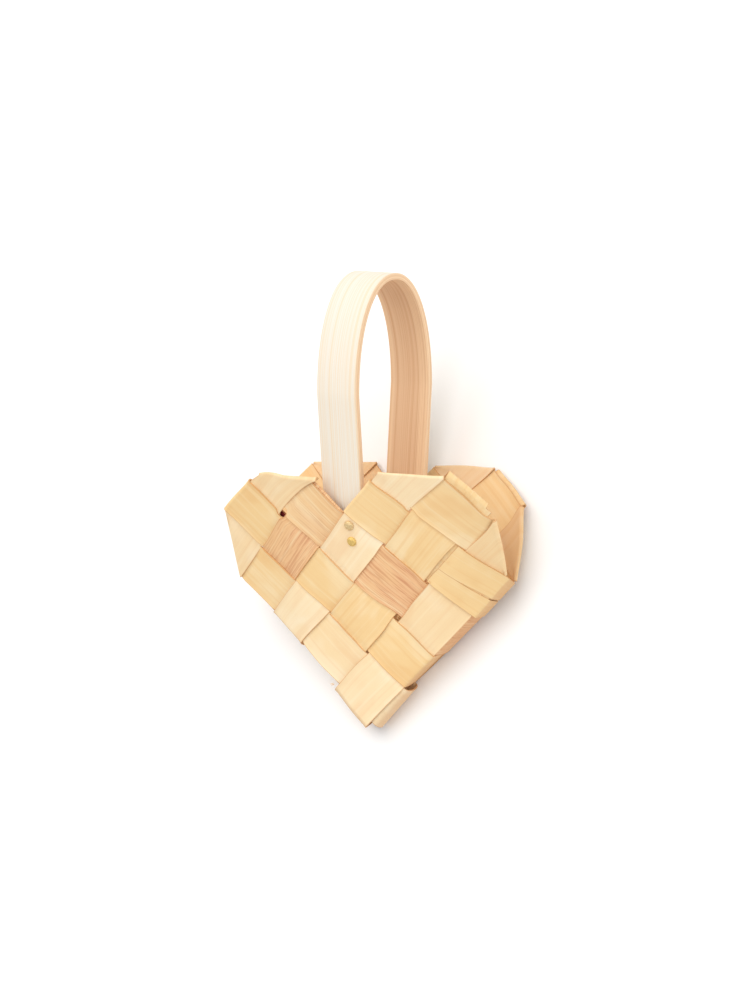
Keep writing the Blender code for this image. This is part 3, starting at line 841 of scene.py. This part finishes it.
def add_piece(name, mesh, material, slot, *nodes):
    """Links a finished mesh, gives it its finish and puts it on the basket's body."""
    if not mesh.polygons:
        raise RuntimeError(name + " came out empty")
    piece = bpy.data.objects.new(name, mesh)
    bpy.context.scene.collection.objects.link(piece)
    if material is not None:
        mesh.materials.clear()
        mesh.materials.append(material)
    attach(piece, "root")
    if nodes:
        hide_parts(*nodes)
    return piece


def apply_modifiers(name, mesh, set_up):
    """Runs modifiers on a mesh and returns the plain mesh that comes out."""
    thing = bpy.data.objects.new(name + "_source", mesh)
    bpy.context.scene.collection.objects.link(thing)
    set_up(thing)
    bpy.context.view_layer.update()
    done = bpy.data.meshes.new_from_object(thing.evaluated_get(bpy.context.evaluated_depsgraph_get()))
    bpy.data.objects.remove(thing)
    done.name = name
    return done


def thickened(name, mesh, thickness):
    """A sheet's mesh with its thickness."""

    def set_up(thing):
        wall = thing.modifiers.new("wall", "SOLIDIFY")
        wall.thickness, wall.offset, wall.use_rim = thickness, 0.0, True

    return apply_modifiers(name, mesh, set_up)


class NodeTree(Nodes):
    """A geometry node tree with named inputs."""

    def __init__(self, name, **sizes):
        super().__init__(bpy.data.node_groups.new(name, "GeometryNodeTree"))
        add = self.tree.interface.new_socket
        add("Geometry", in_out="OUTPUT", socket_type="NodeSocketGeometry")
        for size, kind in {"Geometry": "Geometry", **sizes, "Material": "Material"}.items():
            add(size, in_out="INPUT", socket_type="NodeSocket" + kind)
        self.given = self.node("NodeGroupInput")

    def size(self, name):
        return self.given.output(name)

    def named(self, name, kind="FLOAT_VECTOR"):
        return self.node("GeometryNodeInputNamedAttribute", {"data_type": kind}, {0: name})

    def stored(self, geometry, name, value, kind, domain="POINT"):
        """The geometry with an attribute stored on it."""
        return self.node("GeometryNodeStoreNamedAttribute", {"data_type": kind, "domain": domain},
                         {0: geometry, "Name": name, "Value": value})

    def instances(self, thing, direction, **more):
        """A copy of a thing on each point, its Z turned to a direction."""
        turn = self.node("FunctionNodeAlignRotationToVector", {"axis": "Z"}, {"Vector": direction})
        points = self.node("GeometryNodeMeshToPoints", None, {0: self.size("Geometry")})
        return self.node("GeometryNodeInstanceOnPoints", None,
                         {"Points": points, "Instance": thing, "Rotation": turn, **more})

    def finish(self, geometry):
        """Ends the tree in Realize Instances and Set Material."""
        real = self.node("GeometryNodeRealizeInstances", None, {0: geometry})
        finish = self.node("GeometryNodeSetMaterial", None, {0: real, 2: self.size("Material")})
        self.join(finish, self.tree.nodes.new("NodeGroupOutput").inputs[0])
        return self

    def on(self, thing, **values):
        """Puts the tree on an object with its inputs set by their identifiers."""
        modifier = thing.modifiers.new(self.tree.name, "NODES")
        modifier.node_group = self.tree
        sockets = {item.name: item.identifier for item in self.tree.interface.items_tree}
        for name, value in values.items():
            modifier[sockets[name.replace("_", " ").capitalize()]] = value


def handle_turn():
    """The handle's own turn against the basket."""
    yaw = Matrix.Rotation(radians(HANDLE_YAW), 3, "Z")
    lean = Matrix.Rotation(radians(HANDLE_LEAN), 3, "X")
    return yaw @ lean @ Matrix.Rotation(radians(HANDLE_ROLL), 3, "Y")


def panel_depth(side, x, z):
    """Depth of a panel's middle surface at a place of the upright frame."""
    s, t = 2.0, 2.0
    for _ in range(8):
        here = surface(side, s, t)
        dx, dz = (x - here.x) / PITCH, (z - here.z) / PITCH
        s += (dx - dz) / sqrt(2.0)
        t += (dx + dz) / sqrt(2.0)
    return surface(side, s, t).y


def handle_line():
    """Middle points of the band and the directions across it."""
    legs = [LEG_BOTTOM + 2.0 * i for i in range(36)] + [LEG_BOTTOM + 72.0 + 4.0 * i for i in range(5)]
    leg = [(-(ARCH_HALF_SPAN + LEG_CONVERGENCE * (z - ARCH_SPRING)), z) for z in legs]
    arch = []
    for i in range(ARCH_STEPS + 1):
        angle = pi * i / ARCH_STEPS
        c, s = cos(angle), sin(angle)
        across = -ARCH_HALF_SPAN * (1 if c > 0 else -1) * abs(c) ** (2.0 / ARCH_POWER)
        arch.append((across, ARCH_SPRING + ARCH_HEIGHT * abs(s) ** (2.0 / ARCH_POWER)))
    turn = handle_turn()
    places, sideways = [], []
    for across, z in leg + arch + [(-y, z) for y, z in leg[::-1]]:
        place = turn @ Vector((0.0, across, z - 100.0)) + HANDLE_CENTRE
        aside = turn @ Vector((1.0, 0.0, 0.0))
        if z <= SEAT_TOP:
            blend, flat = (min(1.0, (SEAT_TOP - z) / length) for length in (SEAT_BLEND, SEAT_TURN))
            room = SEAT_ROOM * (1.0 - flat)
            side, seat = ("front", FRONT_SEAT + room) if across < 0.0 else ("back", -BACK_SEAT - room)
            place.y += (panel_depth(side, place.x, place.z) + seat - place.y) * blend
            aside = aside.lerp(Vector((1.0, 0.0, aside.z)), flat * 0.8).normalized()
        places.append(place)
        sideways.append(aside)
    return places, sideways


def band_tree():
    """Sweeps a rounded band along a path, with a map along and across its grain."""
    tree = NodeTree("bent band", Width="Float", Thickness="Float", Rounding="Float")
    path = tree.node("GeometryNodeMeshToCurve", None, {0: tree.size("Geometry")})
    path = tree.node("GeometryNodeSetCurveNormal", {"mode": "FREE"}, {0: path, "Normal": tree.named("across")})
    path = tree.stored(path, "length", tree.node("GeometryNodeSplineParameter", None, None, 1), "FLOAT")
    outline = tree.node("GeometryNodeCurvePrimitiveQuadrilateral", None,
                        {0: tree.size("Width"), 1: tree.size("Thickness")})
    outline = tree.node("GeometryNodeFilletCurve", {"mode": "POLY"},
                        {0: outline, "Count": 4, "Radius": tree.size("Rounding"), "Limit Radius": True})
    outline = tree.node("GeometryNodeResampleCurve", {"mode": "EVALUATED"}, {0: outline})
    outline = tree.stored(outline, "outline", tree.node("GeometryNodeInputPosition"), "FLOAT_VECTOR")
    band = tree.node("GeometryNodeCurveToMesh", None, {0: path, 1: outline, "Fill Caps": True})
    place = tree.node("ShaderNodeSeparateXYZ", None, {0: tree.named("outline")})
    aside = place + place.output(1) * 0.9
    grain = tree.node("ShaderNodeCombineXYZ", None, {0: tree.named("length", "FLOAT"), 1: aside})
    return tree.finish(tree.stored(band, "grain", grain, "FLOAT2", "CORNER"))


def tack_head_mesh(settings):
    """One tack along +Z: a domed head with small hammered flats, and its shank."""
    radius, height = settings.head_radius, settings.head_height
    steps, rings = 28, 9
    built = bmesh.new()
    profile = []
    for i in range(1, rings):
        share = sin(i / rings * pi / 2.0)
        profile.append((radius * share, height * (1.0 - 0.35 * share**2 - 0.65 * share**7) + 0.0001))
    profile += [(radius, 0.0001), (radius * 0.98, 0.0), (SHANK_RADIUS * 0.001, 0.0)]
    profile += [(SHANK_RADIUS * 0.001, (1.2 - SHANK_LENGTH) * 0.001)]
    top = built.verts.new((0.0, 0.0, height + 0.0001))
    rows = []
    for k, (r, z) in enumerate(profile):
        row = []
        for i in range(steps):
            angle = 2.0 * pi * i / steps
            x, y = r * cos(angle), r * sin(angle)
            dent = DENT * radius * uneven(x * DENT_RATE, y * DENT_RATE, 2, 1.0) * (k < rings - 2)
            row.append(built.verts.new((x, y, z + dent)))
        rows.append(row)
    tip = built.verts.new((0.0, 0.0, -SHANK_LENGTH * 0.001))
    for i in range(steps):
        n = (i + 1) % steps
        built.faces.new((top, rows[0][i], rows[0][n]))
        built.faces.new((rows[-1][i], tip, rows[-1][n]))
        for row, following in zip(rows, rows[1:]):
            built.faces.new((row[i], following[i], following[n], row[n]))
    mesh = bpy.data.meshes.new("tack")
    built.to_mesh(mesh)
    built.free()
    mesh.shade_smooth()
    mesh.set_sharp_from_angle(angle=radians(50.0))
    return mesh


def tack_tree():
    """Sets a tack on each point, turned to the point's direction."""
    tree = NodeTree("set tacks", Tack="Object")
    tack = tree.node("GeometryNodeObjectInfo", None, {0: tree.size("Tack")}, 4)
    return tree.finish(tree.instances(tack, tree.named("direction")))


def tack_place(side, s, t):
    """Where a tack's head sits on the outside of a panel, and the way it points out."""
    normal = frame_at(side, s, t)[2]
    level = NEAR_LEVEL + TACK_STANDOFF
    if side == "front":
        return point(side, s, t, level), normal
    return point(side, s, t, -level), -normal


def lap_meshes(crown):
    """The thin outer ply on the right lobe's lowest falling splint, split in two along the grain."""
    front, back = Strip("front", True, 3), Strip("back", True, 3)
    meshes = []
    for half in (-1, 1):
        rows = []
        for i in range(LAP_ROWS + 1):
            run = mix(LAP_START, 4.0, (i - 0.8 * (i == 1)) / LAP_ROWS)
            split = mix(*SPLIT_PLACE, run - 3.0) + half * split_gap(run, half) / 2.0 / PITCH
            edge = half * (0.5 - LAP_INSET) + 0.5
            crosses = [3.0 + mix(split, edge, (c + 1.0) / 2.0) for c in LAP_COLUMNS]
            levels = [front.level(3, run - 3.0, c, crown, (True, False)) + LAP_LEVEL for c in crosses]
            runs = [run + LAP_RAGGED / PITCH * uneven(c, half, 5, 0.05) * (i == 0) for c in crosses]
            tone = (*front.tone(run)[:2], 1.0 if i < 1 else 0.0)
            rows.append(front.row(runs, crosses, levels, tone))
        count = len(crosses)
        far = back.row([4.0] * count, crosses, [NEAR_LEVEL - LAP_LEVEL] * count, back.tone(4.0))
        wrap = wrap_rows(front, rows[-1], far, crosses)
        rows += wrap[:int(len(wrap) * LAP_WRAP)]
        if half < 0:
            rows = [Row(row.points[::-1], row.tone) for row in rows]
        columns = LAP_COLUMNS if half > 0 else LAP_COLUMNS[::-1]
        meshes.append(ribbon_mesh("lap", rows, columns=columns))
    return meshes


def split_gap(run, half):
    """Width of the split in the ply, in millimetres: closed at first, widest near the V's edge."""
    ragged = 0.12 * uneven(run * PITCH, half, 3, 0.9)
    return 0.06 + SPLIT_WIDTH * ease((run - 3.3) / 0.5) + ragged * ease((run - 3.3) / 0.2)


def joined(name, meshes):
    """One mesh of several."""
    built = bmesh.new()
    for mesh in meshes:
        built.from_mesh(mesh)
    whole = bpy.data.meshes.new(name)
    built.to_mesh(whole)
    built.free()
    return whole


def directed_points(name, places, attribute, ways, edges=()):
    """A mesh of points of the upright frame, laid down, each with a direction as a named attribute."""
    mesh = bpy.data.meshes.new(name)
    mesh.from_pydata([PLACE @ p for p in places], edges, [])
    turn = PLACE.to_3x3()
    layer = mesh.attributes.new(attribute, "FLOAT_VECTOR", "POINT")
    layer.data.foreach_set("vector", [x for v in ways for x in (turn @ v).normalized()])
    return mesh


class BASKET_OT_weave(bpy.types.Operator):
    """Weaves the six splints of the heart"""

    bl_idname = "basket.weave"
    bl_label = "Weave splints"

    def execute(self, context):
        settings = context.scene.basket_splints
        crown = settings.crown * 1000.0
        pieces = {}
        singles = {
            "splint_upper_left": (True, 1, -1.0 + SPLINT_GAP + 0.019, 1, TURN_RADIUS, (-1, 0, 1, 2, 3)),
            "splint_notch_left": (False, 0, 3.0 - SPLINT_GAP - 0.05, -1, FLUSH_RADIUS, (2, 1, 0)),
            "splint_notch_right": (True, 3, 1.0 + SPLINT_GAP + 0.019, 1, TURN_RADIUS, (1, 2, 3)),
            "splint_upper_right": (
                False, 2, 5.0 - SPLINT_GAP + ROLL_REACH, -1, ROLL_RADIUS, (4, 3, 2, 1, 0)
            ),
        }
        for name, (falling, index, edge, inward, radius, cells) in singles.items():
            front = single_side(Strip("front", falling, index), edge, inward, radius, cells, crown)
            if name == "splint_upper_right":
                edge, radius = edge - ROLL_REACH, BACK_ROLL_RADIUS
            back = single_side(Strip("back", falling, index), edge, inward, radius, cells, crown)
            wrap = wrap_rows(Strip("front", falling, index), front[-1], back[-1])
            pieces[name] = ribbon_mesh(name, front + wrap + back[::-1])
        loops = {
            "splint_left_loop": (left_loop_side, (True, 2, -1), (True, 0, 1), ROWS_PER_CELL // 2),
            "splint_right_loop": (right_loop_side, (False, 3, -1), (False, 1, 1), ROWS_PER_CELL * 3 // 2),
        }
        for name, (one_side, last, first, seam) in loops.items():
            front, back = one_side("front", crown), one_side("back", crown)
            rows = front + wrap_rows(Strip("front", *last), front[-1], back[-1]) + back[::-1]
            rows += wrap_rows(Strip("back", *first), back[0], front[0])
            pieces[name] = ribbon_mesh(name, rows, True, seam)
        slots = {item["node"]: item["material_slot"] for item in frame["record"]["subparts"]}
        for seed, (name, mesh) in enumerate(pieces.items()):
            solid = thickened(name, mesh, settings.thickness)
            if name == "splint_notch_right":
                plies = [thickened("ply", lap, LAP_THICKNESS) for lap in lap_meshes(crown)]
                solid = joined(name, [solid, *plies])
            solid.set_sharp_from_angle(angle=radians(45.0))
            material = splint_wood(name + "_wood", settings, seed * 11.0)
            add_piece(name + "_dressed", solid, material, slots[name], name)
        return {"FINISHED"}


def fibre_tree():
    """Stands a thin tapered fibre on each point, near the point's direction."""
    tree = NodeTree("frayed fibres", Length="Float", Seed="Int")
    sizes = {"Vertices": 4, "Radius Top": 0.00002, "Radius Bottom": 0.00013, "Depth": tree.size("Length")}
    fibre = tree.node("GeometryNodeMeshCone", None, sizes)
    seed = tree.size("Seed")
    lean = tree.node("FunctionNodeRandomValue", {"data_type": "FLOAT_VECTOR"},
                     {0: (-FIBRE_LEAN,) * 3, 1: (FIBRE_LEAN,) * 3, "Seed": seed})
    way = tree.node("ShaderNodeVectorMath", {"operation": "ADD"}, {0: tree.named("direction"), 1: lean})
    scale = tree.node("FunctionNodeRandomValue", {"data_type": "FLOAT"}, {2: 0.25, 3: 1.0, "Seed": seed}, 1)
    return tree.finish(tree.instances(fibre, way, Scale=scale))


def fibre_wood(settings):
    """Torn wood fibre, paler and browner by place."""
    shader = Shader("fibre_wood")
    cloud = shader.speckle(400.0)
    colour = shader.blend(cloud.step(0.4, 0.6), settings.brown, settings.yellow)
    return shader.finish(colour, 0.7, cloud, 0.00002)


class BASKET_OT_fray(bpy.types.Operator):
    """Frays the splints' worn edges"""

    bl_idname = "basket.fray"
    bl_label = "Fray edges"

    def execute(self, context):
        settings = context.scene.basket_splints
        roots, ways = [], []
        for s, t, level, count, right, up in FRAYS:
            for i in range(count):
                ds, dt = (FRAY_SPREAD * uneven(3.7 * i + s, t, seed, 1.3) for seed in (8, 9))
                roots.append(point("front", s + ds, t + dt, level))
                ways.append(Vector((right, -FIBRE_OUT, up)))
        mesh = directed_points("fray_points", roots, "direction", ways)
        fibres = apply_modifiers("fibres", mesh, lambda thing: fibre_tree().on(
            thing, length=settings.fibre_length, seed=settings.fibre_seed, material=fibre_wood(settings)
        ))
        add_piece("splint_fibres", fibres, None, "splint_yellow")
        return {"FINISHED"}


class BASKET_OT_handle(bpy.types.Operator):
    """Bends the handle's band"""

    bl_idname = "basket.handle"
    bl_label = "Bend handle"

    def execute(self, context):
        settings = context.scene.basket_handle
        places, sideways = handle_line()
        edges = [(i, i + 1) for i in range(len(places) - 1)]
        mesh = directed_points("handle_path", places, "across", sideways, edges)
        material = handle_wood(settings)
        band = apply_modifiers("handle", mesh, lambda thing: band_tree().on(
            thing, width=settings.width, thickness=settings.thickness, rounding=settings.rounding,
            material=material
        ))
        band.shade_smooth()
        band.set_sharp_from_angle(angle=radians(40.0))
        add_piece("handle_band", band, None, "handle_wood", "handle")
        return {"FINISHED"}


class BASKET_OT_tacks(bpy.types.Operator):
    """Sets the brass tacks"""

    bl_idname = "basket.tacks"
    bl_label = "Set tacks"

    def execute(self, context):
        settings = context.scene.basket_tacks
        places = [tack_place("front", *p) for p in FRONT_TACKS] + [tack_place("back", *p) for p in BACK_TACKS]
        mesh = directed_points("tack_points", [p for p, _ in places], "direction", [n for _, n in places])
        tack = bpy.data.objects.new("tack_source", tack_head_mesh(settings))
        context.scene.collection.objects.link(tack)
        material = tack_brass(settings)
        heads = apply_modifiers(
            "brass_tacks", mesh, lambda thing: tack_tree().on(thing, tack=tack, material=material)
        )
        bpy.data.objects.remove(tack)
        nodes = [name for name in frame["nodes"] if "tack" in name]
        add_piece("brass_tacks", heads, None, "tack_brass", *nodes)
        return {"FINISHED"}


def camera_axes():
    """Camera directions in the upright frame: right, up and back, after its roll, and its aim."""
    a, e, r = radians(CAMERA_AZIMUTH), radians(CAMERA_ELEVATION), radians(CAMERA_ROLL)
    back = Vector((sin(a) * cos(e), -cos(a) * cos(e), sin(e)))
    right = Vector((cos(a), sin(a), 0.0))
    up = back.cross(right)
    aim = right * CAMERA_SIDE + up * CAMERA_HEIGHT
    return right * cos(r) + up * sin(r), up * cos(r) - right * sin(r), back, aim


class BASKET_OT_stage(bpy.types.Operator):
    """Lays the floor and sets the lights and the camera"""

    bl_idname = "basket.stage"
    bl_label = "Set stage"

    def execute(self, context):
        settings = context.scene.basket_studio
        scene = context.scene
        floor_mesh = bpy.data.meshes.new("floor")
        signs = ((-1, -1), (1, -1), (1, 1), (-1, 1))
        corners = [(x * FLOOR_REACH, y * FLOOR_REACH, 0.0) for x, y in signs]
        floor_mesh.from_pydata(corners, [], [(0, 1, 2, 3)])
        floor = bpy.data.objects.new("floor", floor_mesh)
        scene.collection.objects.link(floor)
        shader = Shader("floor paper")
        colour = tuple(settings.floor_colour)
        mottled = shader.blend(shader.speckle(90.0) * 0.04, colour, tuple(c * 0.9 for c in colour))
        shader.join(mottled, shader.surface.inputs["Base Color"])
        shader.surface.inputs["Roughness"].default_value = 0.9
        floor_mesh.materials.append(shader.material)

        right, up, back, aim = camera_axes()
        turn = PLACE.to_3x3().normalized()
        basis = Matrix([turn @ right, turn @ up, turn @ back]).transposed()
        camera = bpy.data.objects.new("camera", bpy.data.cameras.new("camera"))
        camera.data.sensor_width = SENSOR
        camera.data.lens = SENSOR * CAMERA_FOCUS
        camera.data.clip_start, camera.data.clip_end = 0.05, 50.0
        camera.matrix_world = Matrix.Translation(PLACE @ (aim + back * CAMERA_DISTANCE)) @ basis.to_4x4()
        scene.collection.objects.link(camera)
        scene.camera = camera

        centre = PLACE @ aim
        lamps = {
            "key": ((-0.9, 1.0, 1.3), settings.key_power, 1.7, (1.0, 0.985, 0.96)),
            "fill": ((1.2, -0.3, 1.0), settings.key_power * 0.34, 1.6, (1.0, 0.99, 0.98)),
        }
        for name, (direction, power, size, colour) in lamps.items():
            lamp = bpy.data.lights.new(name, "AREA")
            lamp.energy, lamp.size, lamp.color = power, size, colour
            thing = bpy.data.objects.new(name, lamp)
            away = (basis @ Vector(direction)).normalized()
            thing.location = centre + away * LAMP_DISTANCE
            thing.rotation_euler = away.to_track_quat("Z", "Y").to_euler()
            scene.collection.objects.link(thing)
        world = bpy.data.worlds.new("sky")
        world.use_nodes = True
        world.node_tree.nodes["Background"].inputs[0].default_value = (1.0, 1.0, 1.0, 1.0)
        world.node_tree.nodes["Background"].inputs[1].default_value = settings.sky
        scene.world = world
        scene.view_settings.view_transform = "Standard"
        return {"FINISHED"}


class BASKET_PT_panel(bpy.types.Panel):
    """Lists the basket's steps and settings"""

    bl_label = "Heart basket"
    bl_space_type = "VIEW_3D"
    bl_region_type = "UI"
    bl_category = "Basket"

    def draw(self, context):
        groups = (
            ("basket_splints", "basket.weave", "basket.fray"), ("basket_handle", "basket.handle"),
            ("basket_tacks", "basket.tacks"), ("basket_studio", "basket.stage"),
        )
        for group, *operators in groups:
            box = self.layout.box()
            settings = getattr(context.scene, group)
            for name in settings.bl_rna.properties.keys()[1:]:
                box.prop(settings, name)
            for operator in operators:
                box.operator(operator)


SETTINGS = {
    "basket_splints": SplintSettings,
    "basket_handle": HandleSettings,
    "basket_tacks": TackSettings,
    "basket_studio": StudioSettings,
}
OPERATORS = (BASKET_OT_weave, BASKET_OT_fray, BASKET_OT_handle, BASKET_OT_tacks, BASKET_OT_stage)
CLASSES = (*SETTINGS.values(), *OPERATORS, BASKET_PT_panel)


def register():
    """Registers the classes and the scene's settings."""
    for cls in CLASSES:
        bpy.utils.register_class(cls)
    for name, group in SETTINGS.items():
        setattr(bpy.types.Scene, name, PointerProperty(type=group))


def unregister():
    """Undoes register."""
    for name in SETTINGS:
        delattr(bpy.types.Scene, name)
    for cls in reversed(CLASSES):
        bpy.utils.unregister_class(cls)


def main():
    """Registers the add-on and makes the basket and its stage."""
    register()
    bpy.ops.basket.weave()
    bpy.ops.basket.fray()
    bpy.ops.basket.handle()
    bpy.ops.basket.tacks()
    bpy.ops.basket.stage()


if __name__ == "__main__":
    main()
